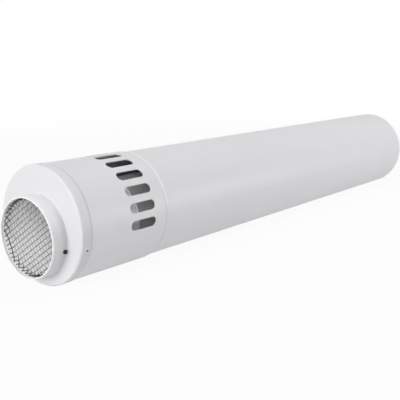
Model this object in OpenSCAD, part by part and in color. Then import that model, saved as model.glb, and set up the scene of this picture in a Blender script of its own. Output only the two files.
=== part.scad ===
// Coaxial flue pipe with a horizontal wall terminal, lying on its heavier side.
// Y runs along the pipe from the mouth to the boiler end, Z is up, and the origin is
// on the ground under the middle of the pipe.

/* [Outer pipe] */
// Outside diameter of the air pipe
pipe_d = 160; // [150:1:170]
// Wall thickness of the air pipe
pipe_wall = 1; // [0.8:0.1:1.5]
// Length from the cap's face to the boiler end of the air pipe
pipe_end = 975; // [600:5:1500]
// Height of the rolled stop bead over the air pipe
bead_h = 1.2; // [0.8:0.1:1.5]
// Width of the stop bead
bead_w = 6; // [5:0.5:8]

/* [Terminal sleeve] */
// Wall thickness of the slotted sleeve
sleeve_wall = 1.5; // [1:0.1:2]
// Radial gap between the sleeve and the air pipe
sleeve_gap = 0.2; // [0.1:0.05:0.3]
// Distance from the cap's face to the sleeve's rear edge
sleeve_end = 161; // [152:1:190]
// How far the air pipe reaches into the sleeve
pipe_lap = 18; // [12:1:20]

/* [Air slots] */
// Number of slots in the upper half
slot_count = 12; // [2:2:12]
// Number of slot places in a full circle
slot_places = 21; // [21:1:24]
// Width of a slot
slot_w = 14; // [8:0.5:15]
// Length of a slot with its round ends
slot_len = 49; // [20:1:49]
// Distance from the cap's face to the middle of the slots
slot_mid = 114; // [110:1:115]

/* [End cap] */
// Sheet thickness of the cap
cap_wall = 0.8; // [0.8:0.1:1]
// Depth of the cap from its face to the rear edge of its skirt
cap_depth = 16; // [15:0.5:30]
// Outside radius of the cap's rounded edge
cap_edge_r = 2.8; // [2:0.1:4]
// Radial gap between the skirt and the sleeve
skirt_gap = 0.1; // [0.1:0.05:0.3]
// Length of the neck in front of the face
neck_len = 24; // [22:1:40]
// How far the neck sits below the middle of the cap
neck_drop = 12; // [6:0.5:14]
// Radius of the fillet between the face and the neck
neck_fillet = 1.5; // [1:0.1:3]
// Radial gap between the neck and the terminal tube
neck_gap = 0.2; // [0.15:0.05:0.4]
// Thickness of the rolled lip round the mouth
lip_d = 2.2; // [2:0.1:2.4]

/* [Exhaust line] */
// Outside diameter of the exhaust pipe
exhaust_d = 110; // [100:1:112]
// Wall thickness of the exhaust pipe and the terminal tube
exhaust_wall = 1; // [0.8:0.1:1.2]
// Distance from the cap's face to the terminal tube's rear edge
tube_end = 131.5; // [125:0.5:140]
// Length of the exhaust pipe's necked end inside the terminal tube
plug_len = 24; // [20:1:40]
// How far the exhaust pipe stands out of the air pipe at the boiler end
exhaust_proud = 20; // [0:1:40]
// Length of the exhaust pipe's plain end behind its stop bead
socket_len = 50; // [40:1:60]

/* [Mesh guard] */
// Depth of the mesh behind the mouth
mesh_depth = 10.5; // [8:0.5:12]
// Thickness of a wire
wire_t = 1.2; // [1:0.1:1.6]
// Distance between wires
wire_pitch = 10; // [10:0.5:14]
// Angle of the first set of wires over the horizontal
wire_angle_a = 34; // [0:1:60]
// Angle of the second set of wires over the horizontal
wire_angle_b = 113; // [90:1:150]

/* [Fasteners] */
// Angle of the neck's screws from the top, on both sides
screw_angle = 103; // [100:1:110]
// Diameter of a screw's head
screw_head_d = 6; // [5:0.1:6.5]
// Diameter of a screw's shank
screw_d = 3.4; // [2.8:0.1:3.6]
// Angle of the skirt's rivets from the top, on both sides
rivet_angle = 105; // [100:1:110]
// Distance of the skirt rivets behind the cap's face
rivet_behind = 10; // [8:0.5:11]
// Diameter of a rivet's head
rivet_head_d = 7; // [6:0.1:7.2]
// Diameter of a rivet's shank
rivet_d = 3.2; // [3:0.1:3.4]

/* [Spacers] */
// Distance from the cap's face to the front spacer
front_spacer_at = 300; // [250:10:400]
// Distance from the cap's face to the rear spacer
rear_spacer_at = 880; // [500:10:950]
// Width of a spacer's strip along the pipe
spacer_w = 20; // [10:1:25]
// Thickness of the strip
spacer_t = 0.8; // [0.6:0.1:1]
// Width of a leg's loop
leg_w = 16; // [12:1:18]

/* [Hidden] */
$fn = 96;
eps = 0.01;

// Radii of the outer line
pipe_r = pipe_d / 2;
sleeve_in_r = pipe_r + sleeve_gap;
sleeve_r = sleeve_in_r + sleeve_wall;
cap_in_r = sleeve_r + skirt_gap;
cap_r = cap_in_r + cap_wall;

// Radii of the exhaust line
neck_over = 0.25;
plug_gap = 0.8;
exhaust_r = exhaust_d / 2;
duct_r = exhaust_r - exhaust_wall;
neck_r = exhaust_r + neck_over;
neck_in_r = neck_r - cap_wall;
tube_r = neck_in_r - neck_gap;
tube_in_r = tube_r - exhaust_wall;
plug_r = tube_in_r - plug_gap;
plug_in_r = plug_r - exhaust_wall;

// The exhaust line slopes: it turns about the middle of the neck, and at the boiler end of
// the air pipe it runs through the air pipe's own axis
pivot = -neck_len / 2;
slope = atan(neck_drop / (pipe_end - pivot));

// The cap's face lies at face_y, and the whole is centred on the origin along Y
exhaust_end = pipe_end + exhaust_proud;
rear_reach = pivot + (exhaust_end - pivot) * cos(slope) + exhaust_r * sin(slope);
face_y = (neck_len - rear_reach) / 2;
axis_z = cap_r;

// The sleeve's front edge touches the bend of the cap
cap_bend_in_r = cap_edge_r - cap_wall;
sleeve_start = cap_edge_r - sqrt(pow(cap_bend_in_r, 2) - pow(cap_bend_in_r - skirt_gap, 2));

// Both pipes have a stop bead, a shallow arc. The sleeve's rear edge butts against the air
// pipe's bead, and the next exhaust pipe's socket against the exhaust pipe's.
bead_r = (pow(bead_w / 2, 2) + pow(bead_h, 2)) / (2 * bead_h);
bead_mid = sleeve_end + sqrt(pow(bead_r, 2) - pow(bead_r - bead_h + sleeve_gap, 2));
exhaust_bead_mid = exhaust_end - socket_len - bead_w / 2;
pipe_start = sleeve_end - pipe_lap;
edge_round = 0.5;

// The terminal tube starts behind the rolled lip, clear of it over its own tilt
tube_start = lip_d - neck_len + tube_r * sin(slope) + eps;
seal_len = 5;
seal_at = tube_end - plug_len / 2;
shoulder_len = 1.5;

// The mesh is a cup that fits the terminal tube's bore
mesh_r = tube_in_r;
mesh_face = mesh_depth - neck_len;
wire_bite = 0.3;
mesh_back = mesh_face + 2 * wire_t - wire_bite;
mesh_lip = tube_start + 0.3;

// The screws' heads sit just ahead of the fillet
screw_ahead = neck_fillet + screw_head_d / 2;
screw_head_h = 2.4;
screw_head_r = 1.1;
screw_len = 8;
screw_tip = 2.5;
recess_l = 3.4;
recess_w = 0.9;
recess_d = 1.4;
hole_gap = 0.05;
rivet_head_h = 1.1;
rivet_bulb_d = 4.8;
rivet_bulb_len = 2.2;
mandrel_hole_d = 1.8;
mandrel_hole_depth = 0.9;

spacer_split = 6;
wall_clear = spacer_w / 2 * sin(slope);

// Children's Z runs along the pipe from the cap's face, their -Y is up
module on_pipe(drop = 0)
{
    translate([0, face_y, axis_z - drop])
        rotate([-90, 0, 0])
            children();
}

// The same, on the sloping exhaust line
module on_exhaust()
{
    translate([0, face_y + pivot, axis_z - neck_drop])
        rotate([slope - 90, 0, 0])
            translate([0, 0, -pivot])
                children();
}

// Turns children so that their X points outwards at an angle from the top
module facing(angle)
{
    rotate([0, 0, angle - 90])
        children();
}

// A radial feature: children's Z points outwards at radius r and distance z
module radial(angle, r, z)
{
    facing(angle)
        translate([r, 0, z])
            rotate([0, 90, 0])
                children();
}

module ring(r_in, r_out, z0, z1)
{
    rotate_extrude()
        translate([r_in, z0])
            square([r_out - r_in, z1 - z0]);
}

// A quarter of a bent sheet's section, centred on the bend, in quadrant sx, sy
module bend_2d(r_in, r_out, sx, sy)
{
    intersection()
    {
        difference()
        {
            circle(r = r_out);
            circle(r = r_in);
        }
        scale([sx, sy])
            square(r_out + 1);
    }
}

// Section of a pipe with a stop bead whose middle is at bead
module beaded_2d(r, wall, start, end, bead)
{
    difference()
    {
        union()
        {
            translate([r - wall, start])
                square([wall, end - start]);
            intersection()
            {
                translate([r + bead_h - bead_r, bead])
                    circle(r = bead_r);
                translate([r - wall / 2, bead - bead_w / 2])
                    square([wall / 2 + bead_h, bead_w]);
            }
        }
        translate([r + bead_h - bead_r, bead])
            circle(r = bead_r - wall);
    }
}

module outer_pipe()
{
    color("white")
        on_pipe()
            rotate_extrude()
                beaded_2d(pipe_r, pipe_wall, pipe_start, pipe_end, bead_mid);
}

module slot_2d()
{
    straight = slot_len - slot_w;
    square([straight, slot_w], center = true);
    for (end = [-1, 1])
        translate([end * straight / 2, 0])
            circle(d = slot_w);
}

module sleeve_2d()
{
    difference()
    {
        translate([sleeve_in_r, sleeve_start])
            square([sleeve_wall, sleeve_end - sleeve_start]);
        translate([sleeve_r - edge_round, sleeve_end - edge_round])
            difference()
            {
                square(edge_round + 1);
                circle(r = edge_round);
            }
    }
}

module terminal_sleeve()
{
    color("white")
        on_pipe()
            difference()
            {
                rotate_extrude()
                    sleeve_2d();
                for (i = [0 : slot_count - 1])
                    radial((i - (slot_count - 1) / 2) * 360 / slot_places, sleeve_in_r - 2, slot_mid)
                        linear_extrude(height = sleeve_wall + 4)
                            slot_2d();
                for (side = [-1, 1])
                    radial(side * rivet_angle, sleeve_in_r - 2, rivet_behind)
                        cylinder(d = rivet_d + 2 * hole_gap, h = sleeve_wall + 4, $fn = 32);
            }
}

// Skirt, rounded edge and flat face, around the cap's own axis
module cap_shell_2d()
{
    translate([cap_in_r, cap_edge_r])
        square([cap_wall, cap_depth - cap_edge_r]);
    translate([cap_r - cap_edge_r, cap_edge_r])
        bend_2d(cap_edge_r - cap_wall, cap_edge_r, 1, -1);
    square([cap_r - cap_edge_r, cap_wall]);
}

// Fillet, neck and rolled lip, around the neck's axis
module neck_2d()
{
    translate([neck_r + neck_fillet, -neck_fillet])
        bend_2d(neck_fillet, neck_fillet + cap_wall, -1, 1);
    translate([neck_in_r, lip_d / 2 - neck_len])
        square([cap_wall, neck_len - neck_fillet - lip_d / 2]);
    translate([neck_r - lip_d / 2, lip_d / 2 - neck_len])
        circle(d = lip_d);
}

module end_cap()
{
    color("white")
    {
        difference()
        {
            on_pipe()
                rotate_extrude()
                    cap_shell_2d();
            on_pipe(neck_drop)
                translate([0, 0, -1])
                    cylinder(r = neck_r + neck_fillet, h = cap_wall + 2);
            on_pipe()
                for (side = [-1, 1])
                    radial(side * rivet_angle, cap_in_r - 1, rivet_behind)
                        cylinder(d = rivet_d + 2 * hole_gap, h = cap_wall + 2, $fn = 32);
        }
        on_pipe(neck_drop)
            difference()
            {
                rotate_extrude()
                    neck_2d();
                for (side = [-1, 1])
                    radial(side * screw_angle, neck_in_r - 2, -screw_ahead)
                        cylinder(d = screw_d + 2 * hole_gap, h = cap_wall + 4, $fn = 32);
            }
    }
}

module terminal_tube()
{
    color("white")
        difference()
        {
            on_exhaust()
                ring(tube_in_r, tube_r, tube_start, tube_end);
            on_pipe(neck_drop)
                for (side = [-1, 1])
                    radial(side * screw_angle, tube_in_r - 2, -screw_ahead)
                        cylinder(d = screw_d + 2 * hole_gap, h = exhaust_wall + 4, $fn = 32);
        }
}

// The necked end's shoulder rests on the terminal tube's inner corner
module exhaust_pipe()
{
    shoulder_start = tube_end - shoulder_len * plug_gap / (exhaust_r - plug_r);
    shoulder_end = shoulder_start + shoulder_len;
    tube_from = shoulder_end + exhaust_wall;
    color("silver")
        on_exhaust()
            rotate_extrude()
            {
                polygon([
                    [plug_in_r, tube_end - plug_len],
                    [plug_r, tube_end - plug_len],
                    [plug_r, shoulder_start],
                    [exhaust_r, shoulder_end],
                    [exhaust_r, tube_from + 1],
                    [duct_r, tube_from + 1],
                    [duct_r, shoulder_end + exhaust_wall / 2],
                    [plug_in_r, shoulder_start + exhaust_wall / 2]
                ]);
                beaded_2d(exhaust_r, exhaust_wall, tube_from, exhaust_end, exhaust_bead_mid);
            }
}

module joint_seal()
{
    color("dimgray")
        on_exhaust()
            ring(plug_r, tube_in_r, seal_at - seal_len / 2, seal_at + seal_len / 2);
}

// One set of straight wires across the cup, each as long as its chord
module wire_set(angle, z)
{
    reach = floor((mesh_r - wire_t) / wire_pitch);
    rotate([0, 0, -angle])
        for (i = [-reach : reach])
        {
            chord = 2 * sqrt(pow(mesh_r - wire_t / 2, 2) - pow(i * wire_pitch, 2));
            translate([-chord / 2, i * wire_pitch - wire_t / 2, z])
                cube([chord, wire_t, wire_t]);
        }
}

// The same wires, bent up along the wall of the cup
module wall_wires(angle)
{
    reach = floor((mesh_r - wire_t) / wire_pitch);
    rotate([0, 0, -angle])
        for (i = [-reach : reach])
            for (side = [0, 1])
                rotate([0, 0, side * 180 + asin(i * wire_pitch / (mesh_r - wire_t / 2))])
                    translate([mesh_r - wire_t - eps, -wire_t / 2, mesh_lip + wire_t / 2])
                        cube([wire_t - eps, wire_t, mesh_face + wire_t - mesh_lip - wire_t / 2]);
}

module mesh_guard()
{
    color("gray")
        on_exhaust()
        {
            wire_set(wire_angle_a, mesh_face);
            wire_set(wire_angle_b, mesh_face + wire_t - wire_bite);
            wall_wires(wire_angle_a);
            wall_wires(wire_angle_b);
            ring(mesh_r - wire_t, mesh_r, mesh_lip, mesh_lip + wire_t);
            ring(mesh_r - wire_t, mesh_r, mesh_face, mesh_back);
        }
}

module screw()
{
    difference()
    {
        rotate_extrude($fn = 32)
            difference()
            {
                union()
                {
                    square([screw_head_d / 2, screw_head_h - screw_head_r]);
                    square([screw_head_d / 2 - screw_head_r, screw_head_h]);
                    translate([screw_head_d / 2 - screw_head_r, screw_head_h - screw_head_r])
                        circle(r = screw_head_r);
                    translate([0, screw_tip - screw_len])
                        square([screw_d / 2, screw_len - screw_tip]);
                    polygon([[0, -screw_len], [screw_d / 2, screw_tip - screw_len], [0, screw_tip - screw_len]]);
                }
                translate([-screw_head_d, -screw_len])
                    square([screw_head_d, screw_len + screw_head_h]);
            }
        for (turn = [0, 90])
            rotate([0, 0, turn])
                translate([-recess_l / 2, -recess_w / 2, screw_head_h - recess_d])
                    cube([recess_l, recess_w, recess_d + 1]);
    }
}

module neck_screws()
{
    color("dimgray")
        on_pipe(neck_drop)
            for (side = [-1, 1])
                radial(side * screw_angle, neck_r, -screw_ahead)
                    screw();
}

// Domed head, shank through the skirt and the sleeve, and the set end inside
module rivet_2d()
{
    dome_r = (pow(rivet_head_d / 2, 2) + pow(rivet_head_h, 2)) / (2 * rivet_head_h);
    grip = cap_r - sqrt(pow(sleeve_in_r, 2) - pow(rivet_bulb_d / 2, 2));
    difference()
    {
        union()
        {
            intersection()
            {
                translate([0, rivet_head_h - dome_r])
                    circle(r = dome_r);
                square([rivet_head_d, rivet_head_h]);
            }
            translate([0, -grip - rivet_bulb_len])
                square([rivet_d / 2, grip + rivet_bulb_len]);
            translate([0, -grip - rivet_bulb_len])
                square([rivet_bulb_d / 2, rivet_bulb_len]);
        }
        translate([0, rivet_head_h - mandrel_hole_depth])
            square([mandrel_hole_d / 2, mandrel_hole_depth + 1]);
    }
}

module skirt_rivets()
{
    color("gainsboro")
        on_pipe()
            for (side = [-1, 1])
                radial(side * rivet_angle, cap_r, rivet_behind)
                    rotate_extrude($fn = 32)
                        rivet_2d();
}

// One leg is a loop of the strip whose round end touches the air pipe's wall.
// rise is how far the air pipe's axis lies above the exhaust pipe's axis here.
module leg_2d(angle, rise)
{
    half = leg_w / 2;
    reach_r = pipe_r - pipe_wall - wall_clear - half;
    tip = rise * cos(angle) + sqrt(pow(reach_r, 2) - pow(rise * sin(angle), 2));
    facing(angle)
        difference()
        {
            union()
            {
                translate([exhaust_r, -half])
                    square([tip - exhaust_r, leg_w]);
                translate([tip, 0])
                    circle(r = half);
            }
            translate([exhaust_r, spacer_t - half])
                square([tip - exhaust_r, leg_w - 2 * spacer_t]);
            translate([tip, 0])
                circle(r = half - spacer_t);
        }
}

module spacer(at)
{
    rise = neck_drop * (pipe_end - at) / (pipe_end - pivot);
    on_exhaust()
        translate([0, 0, at - spacer_w / 2])
            linear_extrude(height = spacer_w)
                difference()
                {
                    union()
                    {
                        circle(r = exhaust_r + spacer_t);
                        for (angle = [0, 120, 240])
                            leg_2d(angle, rise);
                    }
                    circle(r = exhaust_r);
                    translate([-spacer_split / 2, exhaust_r - 2])
                        square([spacer_split, 4]);
                }
}

module front_spacer()
{
    color("lightgray")
        spacer(front_spacer_at);
}

module rear_spacer()
{
    color("lightgray")
        spacer(rear_spacer_at);
}

outer_pipe();
terminal_sleeve();
end_cap();
terminal_tube();
exhaust_pipe();
mesh_guard();
neck_screws();
skirt_rivets();
front_spacer();
rear_spacer();
joint_seal();
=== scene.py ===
import math

import bpy
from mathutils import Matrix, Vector


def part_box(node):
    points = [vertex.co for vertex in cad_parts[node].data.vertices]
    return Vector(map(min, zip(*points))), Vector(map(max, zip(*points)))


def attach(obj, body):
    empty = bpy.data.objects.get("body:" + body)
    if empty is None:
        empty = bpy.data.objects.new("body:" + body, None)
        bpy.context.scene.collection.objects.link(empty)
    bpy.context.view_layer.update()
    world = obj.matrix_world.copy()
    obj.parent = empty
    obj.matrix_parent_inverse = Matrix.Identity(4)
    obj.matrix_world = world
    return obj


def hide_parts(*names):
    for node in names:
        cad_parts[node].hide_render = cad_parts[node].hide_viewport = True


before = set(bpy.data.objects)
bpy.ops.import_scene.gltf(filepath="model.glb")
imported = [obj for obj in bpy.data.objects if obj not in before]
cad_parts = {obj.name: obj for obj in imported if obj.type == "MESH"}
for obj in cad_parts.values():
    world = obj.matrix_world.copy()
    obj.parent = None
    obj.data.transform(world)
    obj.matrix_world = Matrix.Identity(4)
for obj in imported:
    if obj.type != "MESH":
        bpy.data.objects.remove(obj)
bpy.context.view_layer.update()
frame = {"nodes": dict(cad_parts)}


def grey(level, warmth=0.0):
    return (level * (1 + warmth), level, level * (1 - warmth), 1.0)


# The camera, where the photograph was taken from: metres, degrees, and the lens in millimetres
EYE = Vector((0.7231, -1.0397, 0.3101))
PITCH = 12.235
HEADING = 39.08
LENS = 61.98
SENSOR = 36.0

# Softboxes: name, place, what each faces, size across and up, brightness of its face
SOFTBOXES = [
    ("overhead", (0.0, 0.1, 2.4), (0.0, 0.0, 0.08), (3.0, 3.0), 1.12),
    ("front", (0.2, -3.0, 0.8), (0.0, -0.4, 0.08), (2.0, 1.4), 5.65),
    ("front_left", (-2.0, -2.4, 1.0), (0.0, -0.4, 0.08), (1.8, 1.6), 0.67),
    ("front_right", (2.2, -2.2, 1.0), (0.0, -0.2, 0.08), (1.8, 1.6), 0.23),
    ("right_high", (1.9, 0.2, 2.0), (0.0, 0.1, 0.08), (2.0, 1.4), 2.27),
    ("right_low", (1.4, 1.0, 0.25), (0.0, 0.3, 0.06), (1.0, 0.4), 4.38),
    ("inner_fill", (1.1, -1.7, 0.95), (0.0, -0.45, 0.08), (0.8, 0.8), 16.0),
]
# What the inner fill lights, through the slots and the mouth, and what shades it there
INNER_PIECES = ("terminal_tube", "exhaust_pipe", "joint_seal")
CASING = ("terminal_tube", "exhaust_pipe", "terminal_sleeve", "end_cap", "outer_pipe")

# The white coat: as it is, a little duller, and whiter for painted highlights
ENAMEL = (0.800, 0.797, 0.822, 1.0)
ENAMEL_DULL = (0.770, 0.768, 0.790, 1.0)
ENAMEL_HIGHLIGHT = (0.930, 0.930, 0.940, 1.0)

# Painted shade on the coat: its grey, and how much of it lies in each place
PAINTED_SHADE_GREY = (0.42, 0.42, 0.43, 1.0)
SKIRT_STEP_SHADE = 0.45
BEAD_GAP_SHADE = 0.30
NECK_CORNER_SHADE = 0.35
SKIRT_SIDE_SHADE = 0.20
NECK_TOP_HIGHLIGHT = 0.85

# Bare finishes, each from its darker marks to its lighter ones
PIPE_SHEET = (grey(0.46, 0.01), grey(0.54, 0.01))
TUBE_SHEET = (grey(0.78), grey(0.90))
BLACKENED = (grey(0.02), grey(0.045))
PLATED = (grey(0.66), grey(0.78))
RIVET = (grey(0.52), grey(0.62))
RUBBER = (grey(0.03), grey(0.05))
# Painted shade of a rivet's mandrel hole
MANDREL_HOLE_SHADE = grey(0.06)
RIM_SHADE_GREY = grey(0.06)
# The warp and weft are one wire: the warp's darker level is painted shade, and the weft's lighter level
# is painted light.
WARP_SHADED = 0.20
WEFT_LIT = 0.50
SPRING = 0.45

# The room
PAPER = grey(0.86)
WHITE = grey(1.0)
PAPER_LIFT = 0.94

# Noise patterns: marks to a metre, layers of finer marks, and stretch along the pipe where it has one
ORANGE_PEEL = (900.0, 3.0)
CLOUD = (9.0, 2.0)
SMUDGE = (60.0, 4.0)
ROLLING = (260.0, 4.0, (1.0, 0.02, 1.0))
STAIN = (14.0, 3.0, (1.0, 0.4, 1.0))
RAGGED = (180.0, 3.0)
DRAWN = (420.0, 3.0)
SCREW_SPECKLE = (700.0, 3.0)
RIVET_SPECKLE = (500.0, 3.0)
SEAL_SPECKLE = (300.0, 2.0)

# The line that the exhaust runs down, from the boiler end of the air pipe to the mouth
pipe_lo, pipe_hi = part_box("outer_pipe")
guard_lo, guard_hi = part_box("mesh_guard")
AXIS_Z = (pipe_lo.z + pipe_hi.z) / 2
MOUTH_Y = (guard_lo.y + guard_hi.y) / 2
MOUTH_Z = (guard_lo.z + guard_hi.z) / 2
SLOPE = math.atan2(AXIS_Z - MOUTH_Z, pipe_hi.y - MOUTH_Y)

# The edges that painted shade, painted highlights and spray keep to
cap_front, cap_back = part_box("end_cap")
rivet_lo, rivet_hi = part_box("skirt_rivets")
NECK_LENGTH = 0.024
FACE_Y = cap_front.y + NECK_LENGTH
SKIRT_REAR = cap_back.y
SLEEVE_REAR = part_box("terminal_sleeve")[1].y
TUBE_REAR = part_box("terminal_tube")[1].y
TUBE_WALL = 0.001
BORE_R = guard_hi.x
RIVET_Y = (rivet_lo.y + rivet_hi.y) / 2
RIVET_Z = (rivet_lo.z + rivet_hi.z) / 2

# The mesh guard: round wires woven at a pitch, and the sheet pressed into a cup
WIRE_R = 0.0006
WIRE_PITCH = 0.0066
WEAVE = (math.radians(34.3), math.radians(112.9))
STEPS_A_PITCH = 6
SHEET_HALF = 0.00105
GUARD_R = BORE_R - 2 * WIRE_R
GUARD_BEND = 0.002
GUARD_FLAT = GUARD_R - GUARD_BEND
GUARD_TILT = GUARD_R * math.sin(SLOPE)
GUARD_Y = guard_hi.y - GUARD_TILT - SHEET_HALF
GUARD_WALL = GUARD_Y - guard_lo.y - GUARD_TILT - GUARD_BEND - WIRE_R
GUARD_REACH = GUARD_FLAT + GUARD_BEND * math.pi / 2 + GUARD_WALL
TINY = 1e-6


class Value:
    """A number that varies over a surface: sums on it add Math nodes."""

    def __init__(self, nodes, socket):
        self.nodes = nodes
        self.socket = socket

    def math(self, operation, first, second):
        return self.nodes.value("ShaderNodeMath", {"operation": operation}, {0: first, 1: second})

    def __add__(self, other):
        return self.math("ADD", self, other)

    def __radd__(self, other):
        return self.math("ADD", other, self)

    def __sub__(self, other):
        return self.math("SUBTRACT", self, other)

    def __rsub__(self, other):
        return self.math("SUBTRACT", other, self)

    def __mul__(self, other):
        return self.math("MULTIPLY", self, other)

    def __rmul__(self, other):
        return self.math("MULTIPLY", other, self)

    def __pow__(self, other):
        return self.math("POWER", self, other)

    def most(self, other):
        """The greater of two."""
        return self.math("MAXIMUM", self, other)


class Nodes:
    """The shader nodes of a material or of the world. node() makes each of them."""

    def __init__(self, owner):
        owner.use_nodes = True
        self.tree = owner.node_tree
        self.tree.nodes.clear()

    def node(self, kind, settings=None, sockets=None):
        new = self.tree.nodes.new(kind)
        for name, setting in (settings or {}).items():
            setattr(new, name, setting)
        for name, value in (sockets or {}).items():
            if isinstance(value, Value):
                value = value.socket
            if isinstance(value, bpy.types.NodeSocket):
                self.tree.links.new(value, new.inputs[name])
            else:
                new.inputs[name].default_value = value
        return new

    def value(self, kind, settings=None, sockets=None, output=0):
        return Value(self, self.node(kind, settings, sockets).outputs[output])

    def seen_or_mirrored(self):
        """1 where the camera or a glossy surface looks, 0 for the light that falls on things."""
        path = self.node("ShaderNodeLightPath")
        return Value(self, path.outputs["Is Camera Ray"]).most(Value(self, path.outputs["Is Glossy Ray"]))


class Finish(Nodes):
    """A procedural material, laid out on a piece's own coordinates."""

    def __init__(self, name):
        self.material = bpy.data.materials.new(name)
        super().__init__(self.material)
        self.place = self.node("ShaderNodeTexCoord").outputs["Object"]

    def axes(self):
        split = self.node("ShaderNodeSeparateXYZ", {}, {0: self.place})
        return [Value(self, split.outputs[i]) for i in range(3)]

    def noise(self, scale, detail, stretch=(1.0, 1.0, 1.0)):
        spot = self.node("ShaderNodeMapping", {}, {"Vector": self.place, "Scale": stretch})
        return self.value("ShaderNodeTexNoise", {}, {
            "Vector": spot.outputs[0], "Scale": scale, "Detail": detail})

    def ease(self, value, zero, one, past=0.0):
        """0 where the value is zero, 1 where it is one, eased between. past is where both count from."""
        return self.value("ShaderNodeMapRange", {"interpolation_type": "SMOOTHSTEP"}, {
            "Value": value, "From Min": past + zero, "From Max": past + one})

    def between(self, mask, low, high):
        return low + mask * (high - low)

    def mix(self, mask, first, second):
        """A colour between two, by a mask from 0 to 1."""
        return self.node("ShaderNodeMix", {"data_type": "RGBA"}, {
            "Factor": mask, 6: first, 7: second}).outputs[2]

    def bump(self, height, strength, distance):
        return self.node("ShaderNodeBump", {}, {
            "Height": height, "Strength": strength, "Distance": distance}).outputs[0]

    def done(self, shader):
        self.node("ShaderNodeOutputMaterial", {}, {"Surface": shader.outputs[0]})
        return self.material


def from_exhaust_line(f):
    """Distance of a point from the sloping line that the exhaust pipe turns about."""
    x, y, z = f.axes()
    aside = (z - MOUTH_Z - (y - MOUTH_Y) * math.tan(SLOPE)) * math.cos(SLOPE)
    return (x * x + aside * aside) ** 0.5


def white_enamel(name, painted_shade=None, bare=None, highlight=None):
    """Powder coat: a fine orange peel under a smooth, half-glossy skin."""
    f = Finish(name)
    peel = f.noise(*ORANGE_PEEL)
    cloud = f.noise(*CLOUD)
    smudge = f.noise(*SMUDGE)
    colour = f.mix(cloud, ENAMEL_DULL, ENAMEL)
    roughness = f.between(smudge, 0.34, 0.46)
    metallic = 0.0
    # Painted highlight, where the caller gives it, whitens the coat.
    if highlight:
        colour = f.mix(highlight(f), colour, ENAMEL_HIGHLIGHT)
    # Painted shade, where the caller gives it, darkens the coat towards a grey.
    if painted_shade:
        colour = f.mix(painted_shade(f), colour, PAINTED_SHADE_GREY)
    if bare:
        metal = bare(f)
        colour = f.mix(metal, colour, f.mix(f.noise(*ROLLING), *TUBE_SHEET))
        roughness = roughness + metal * 0.1
        metallic = metal * 0.3
    return f.done(f.node("ShaderNodeBsdfPrincipled", {}, {
        "Base Color": colour,
        "Roughness": roughness,
        "Metallic": metallic,
        "Normal": f.bump(peel, 0.10, 0.0004),
    }))


def painted_shade_on_sleeve(f):
    """Painted shade: thin dark lines in the step behind the cap's skirt, and in the gap before the bead.
    """
    x, y, z = f.axes()
    behind_skirt = f.ease(y, 0.0045, 0.0010, past=SKIRT_REAR) * f.ease(z, 0.03, 0.07)
    before_bead = f.ease(y, -0.0030, -0.0010, past=SLEEVE_REAR) * f.ease(z, 0.13, 0.10)
    return behind_skirt * SKIRT_STEP_SHADE + before_bead * BEAD_GAP_SHADE


def painted_highlight_on_bead(f):
    """Painted highlight along the raised bead's top."""
    x, y, z = f.axes()
    return f.ease(y, 0.0070, 0.0050, past=SLEEVE_REAR) * f.ease(z, 0.075, 0.110)


def painted_shade_on_cap(f):
    """Painted shade in the corner at the neck's right, and thinly on the lower half of the skirt."""
    x, y, z = f.axes()
    near_face = f.ease(y, -0.014, -0.002, past=FACE_Y)
    on_neck = f.ease(y, -0.0005, -0.0015, past=FACE_Y)
    on_skirt = f.ease(y, 0.002, 0.004, past=FACE_Y)
    corner = near_face * on_neck * f.ease(x, 0.030, 0.050)
    low_skirt = on_skirt * f.ease(z, 0.115, 0.085)
    return corner * NECK_CORNER_SHADE + low_skirt * SKIRT_SIDE_SHADE


def painted_highlight_on_cap(f):
    """Painted highlight: the lip and the neck's top are made the whitest."""
    x, y, z = f.axes()
    lip = f.ease(y, 0.0026, 0.0020, past=cap_front.y)
    neck_top = f.ease(y, -0.0005, -0.0015, past=FACE_Y) * f.ease(z, 0.075, 0.105)
    return lip.most(neck_top * NECK_TOP_HIGHLIGHT)


def spray_edge(f):
    """1 ahead of the soft edge where the coat's spray fades out, 0 behind it."""
    y = f.axes()[1] + f.noise(*RAGGED) * 0.003
    return f.ease(y, 0.003, -0.004, past=TUBE_REAR)


def bare_bore(f):
    """The tube's bore was never coated, and the coat fades out near its rear edge."""
    inside = f.ease(from_exhaust_line(f), 0.6 * TUBE_WALL, 0.4 * TUBE_WALL, past=BORE_R)
    return inside.most(1.0 - spray_edge(f))


def bare_aluminium():
    """Rolled sheet, dull, with fine marks along the pipe and stray coat near the terminal tube."""
    f = Finish("bare_aluminium")
    grain = f.noise(*ROLLING)
    stain = f.noise(*STAIN)
    spray = spray_edge(f)
    return f.done(f.node("ShaderNodeBsdfPrincipled", {}, {
        "Base Color": f.mix(spray, f.mix(stain, *PIPE_SHEET), ENAMEL),
        "Metallic": (1.0 - spray) * 0.6,
        "Roughness": f.between(grain, 0.50, 0.62),
        "Normal": f.bump(grain, 0.12, 0.0003),
    }))


def painted_shade_at_rim(f):
    """Painted shade on the guard where it turns up along the tube."""
    return f.ease(from_exhaust_line(f), -0.0020, 0.0010, past=GUARD_FLAT)


def steel_wire(name, level, rim_shade=None):
    """Drawn wire, slightly uneven."""
    f = Finish(name)
    drawn = f.noise(*DRAWN)
    colour = f.mix(drawn, grey(level * 0.85), grey(level * 1.15))
    # Painted shade near the rim, where the caller gives it.
    if rim_shade:
        colour = f.mix(rim_shade(f), colour, RIM_SHADE_GREY)
    return f.done(f.node("ShaderNodeBsdfPrincipled", {}, {
        "Base Color": colour,
        "Metallic": 0.8,
        "Roughness": f.between(drawn, 0.42, 0.56),
    }))


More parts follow.
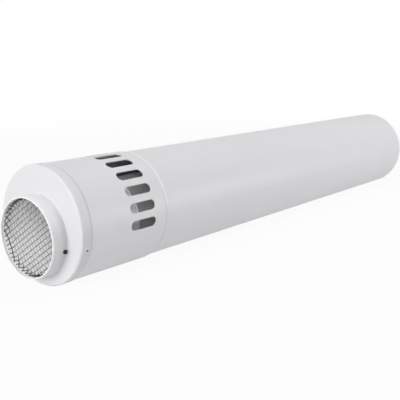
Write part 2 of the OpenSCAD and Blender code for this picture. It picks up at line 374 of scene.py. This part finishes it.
def dark_screw():
    """A blackened head on a plated shank, which reaches into the tube."""
    f = Finish("dark_screw")
    speckle = f.noise(*SCREW_SPECKLE)
    shank = f.ease(from_exhaust_line(f), 0.0012, 0.0008, past=BORE_R)
    return f.done(f.node("ShaderNodeBsdfPrincipled", {}, {
        "Base Color": f.mix(shank, f.mix(speckle, *BLACKENED), f.mix(speckle, *PLATED)),
        "Metallic": 0.6,
        "Roughness": f.between(speckle, 0.30, 0.45),
    }))


def rivet_metal():
    """Rivet aluminium, with painted shade of the mandrel's hole as a dark disc in the middle."""
    f = Finish("rivet_metal")
    speckle = f.noise(*RIVET_SPECKLE)
    x, y, z = f.axes()
    away = ((y - RIVET_Y) * (y - RIVET_Y) + (z - RIVET_Z) * (z - RIVET_Z)) ** 0.5
    hole_shade = f.ease(away, 0.0018, 0.0012)
    return f.done(f.node("ShaderNodeBsdfPrincipled", {}, {
        "Base Color": f.mix(hole_shade, f.mix(speckle, *RIVET), MANDREL_HOLE_SHADE),
        "Metallic": 0.7,
        "Roughness": f.between(speckle, 0.45, 0.60),
    }))


def seal_rubber():
    """Dark matt silicone."""
    f = Finish("seal_rubber")
    speckle = f.noise(*SEAL_SPECKLE)
    return f.done(f.node("ShaderNodeBsdfPrincipled", {}, {
        "Base Color": f.mix(speckle, *RUBBER),
        "Roughness": f.between(speckle, 0.6, 0.75),
    }))


def studio_floor():
    """White paper. Seen directly it lifts towards white, and fades out far from the pipe."""
    f = Finish("studio_floor")
    distance = f.value("ShaderNodeVectorMath", {"operation": "LENGTH"}, {0: f.place}, 1)
    far = f.ease(distance, 0.7, 2.4)
    lift = f.between(far, PAPER_LIFT, 1.0) * f.seen_or_mirrored()
    paper = f.node("ShaderNodeBsdfDiffuse", {}, {"Color": PAPER})
    glow = f.node("ShaderNodeEmission", {}, {"Color": WHITE, "Strength": 1.0})
    return f.done(f.node("ShaderNodeMixShader", {}, {0: lift, 1: paper.outputs[0], 2: glow.outputs[0]}))


def white_surroundings():
    """The world: white where it is seen or mirrored. All other light comes from the lamps."""
    world = bpy.data.worlds.new("studio")
    nodes = Nodes(world)
    light = nodes.node("ShaderNodeBackground", {}, {
        "Color": WHITE, "Strength": nodes.seen_or_mirrored()})
    nodes.node("ShaderNodeOutputWorld", {}, {"Surface": light.outputs[0]})
    bpy.context.scene.world = world


def softbox(name, place, target, size, level):
    """A rectangular lamp whose face is equally bright whatever its size."""
    lamp = bpy.data.lights.new(name, "AREA")
    lamp.shape = "RECTANGLE"
    lamp.size, lamp.size_y = size
    lamp.energy = level * size[0] * size[1] * math.pi
    holder = bpy.data.objects.new(name, lamp)
    aim = Vector(target) - Vector(place)
    holder.rotation_euler = aim.to_track_quat("-Z", "Y").to_euler()
    holder.location = place
    bpy.context.scene.collection.objects.link(holder)
    return holder


def gathered(name, pieces):
    """A collection of pieces, which a lamp can name."""
    group = bpy.data.collections.new(name)
    for piece in pieces:
        group.objects.link(bpy.data.objects[piece])
    return group


def light_only(lamp, lit, shading):
    """Keeps a lamp's light to some pieces, and its shadows to those of some others."""
    lamp.light_linking.receiver_collection = gathered(lamp.name + "_lit", lit)
    lamp.light_linking.blocker_collection = gathered(lamp.name + "_shading", shading)


def place_camera():
    camera = bpy.data.cameras.new("camera")
    camera.lens = LENS
    camera.sensor_width = SENSOR
    camera.clip_end = 50.0
    holder = bpy.data.objects.new("camera", camera)
    holder.location = EYE
    holder.rotation_euler = (math.radians(90.0 - PITCH), 0.0, math.radians(HEADING))
    bpy.context.scene.collection.objects.link(holder)
    bpy.context.scene.camera = holder


def lay_floor():
    bpy.ops.object.select_all(action="DESELECT")
    bpy.ops.mesh.primitive_plane_add(size=40.0, location=(0.0, 0.0, 0.0))
    floor = bpy.context.object
    floor.name = "studio_floor"
    floor.data.materials.append(studio_floor())


def pressed(across, up, lift):
    """Where a point of the flat woven sheet lies once the sheet is a cup that opens forwards."""
    reach = math.hypot(across, up)
    turned = min(max(reach - GUARD_FLAT, 0.0) / GUARD_BEND, math.pi / 2)
    wall = max(reach - GUARD_FLAT - GUARD_BEND * math.pi / 2, 0.0)
    radius = min(reach, GUARD_FLAT) + (GUARD_BEND - lift) * math.sin(turned)
    depth = -GUARD_BEND * (1 - math.cos(turned)) - lift * math.cos(turned) - wall
    shrink = radius / max(reach, TINY)
    return (across * shrink, depth, up * shrink, 1.0)


def woven_wire(curve, row, own, other, first, finish):
    """One wire of the sheet, over and under the wires of the other set."""
    along = Vector((math.cos(own), math.sin(own)))
    aside = Vector((-math.sin(own), math.cos(own)))
    count = Vector((-math.sin(other), math.cos(other))) / WIRE_PITCH
    half = math.sqrt(GUARD_REACH ** 2 - (row * WIRE_PITCH) ** 2)
    steps = 2 * max(1, round(half / WIRE_PITCH * STEPS_A_PITCH))
    spline = curve.splines.new("POLY")
    spline.points.add(steps)
    spline.material_index = finish
    for step, point in enumerate(spline.points):
        spot = along * half * (2 * step / steps - 1) + aside * row * WIRE_PITCH
        lift = first * WIRE_R * math.cos(math.pi * (spot.dot(count) + row))
        point.co = pressed(spot.x, spot.y, lift)


def woven_guard():
    """The guard that the mouth shows, in place of the plain one of the frame."""
    bpy.ops.object.select_all(action="DESELECT")
    bpy.ops.curve.primitive_nurbs_path_add()
    guard = bpy.context.object
    guard.name = "woven_guard"
    curve = guard.data
    curve.splines.clear()
    # One wire in two finishes: a painted shaded one and a painted lit one.
    curve.materials.append(steel_wire("warp_wire_shaded", WARP_SHADED, painted_shade_at_rim))
    curve.materials.append(steel_wire("weft_wire_lit", WEFT_LIT, painted_shade_at_rim))
    rows = math.floor(GUARD_REACH / WIRE_PITCH)
    for row in range(-rows, rows + 1):
        woven_wire(curve, row, WEAVE[0], WEAVE[1], 1, 0)
        woven_wire(curve, row, WEAVE[1], WEAVE[0], -1, 1)
    curve.bevel_depth = WIRE_R
    curve.bevel_resolution = 2
    curve.use_fill_caps = True
    guard.location = (0.0, GUARD_Y, MOUTH_Z + (GUARD_Y - MOUTH_Y) * math.tan(SLOPE))
    guard.rotation_euler = (SLOPE, 0.0, 0.0)
    bpy.ops.object.convert(target="MESH")
    bpy.ops.object.transform_apply(location=True, rotation=True, scale=True)
    bpy.ops.object.mode_set(mode="EDIT")
    bpy.ops.mesh.select_all(action="SELECT")
    bpy.ops.mesh.normals_make_consistent(inside=False)
    bpy.ops.object.mode_set(mode="OBJECT")
    bpy.ops.object.shade_smooth_by_angle(angle=math.radians(60.0))
    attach(guard, "root")
    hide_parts("mesh_guard")


def dress(nodes):
    """Gives each piece of the frame its own finish."""
    wire = steel_wire("spring_steel", SPRING)
    finishes = {
        "outer_pipe": white_enamel("pipe_enamel", highlight=painted_highlight_on_bead),
        "terminal_sleeve": white_enamel("sleeve_enamel", painted_shade=painted_shade_on_sleeve),
        "end_cap": white_enamel("cap_enamel", painted_shade=painted_shade_on_cap, highlight=painted_highlight_on_cap),
        "terminal_tube": white_enamel("tube_enamel", bare=bare_bore),
        "exhaust_pipe": bare_aluminium(),
        "mesh_guard": wire,
        "neck_screws": dark_screw(),
        "skirt_rivets": rivet_metal(),
        "front_spacer": wire,
        "rear_spacer": wire,
        "joint_seal": seal_rubber(),
    }
    for name, finish in finishes.items():
        mesh = nodes[name].data
        mesh.materials.clear()
        mesh.materials.append(finish)


bpy.context.scene.view_settings.view_transform = "Standard"
place_camera()
lay_floor()
white_surroundings()
lamps = {box[0]: softbox(*box) for box in SOFTBOXES}
dress(frame["nodes"])
woven_guard()
light_only(lamps["inner_fill"], INNER_PIECES, CASING)
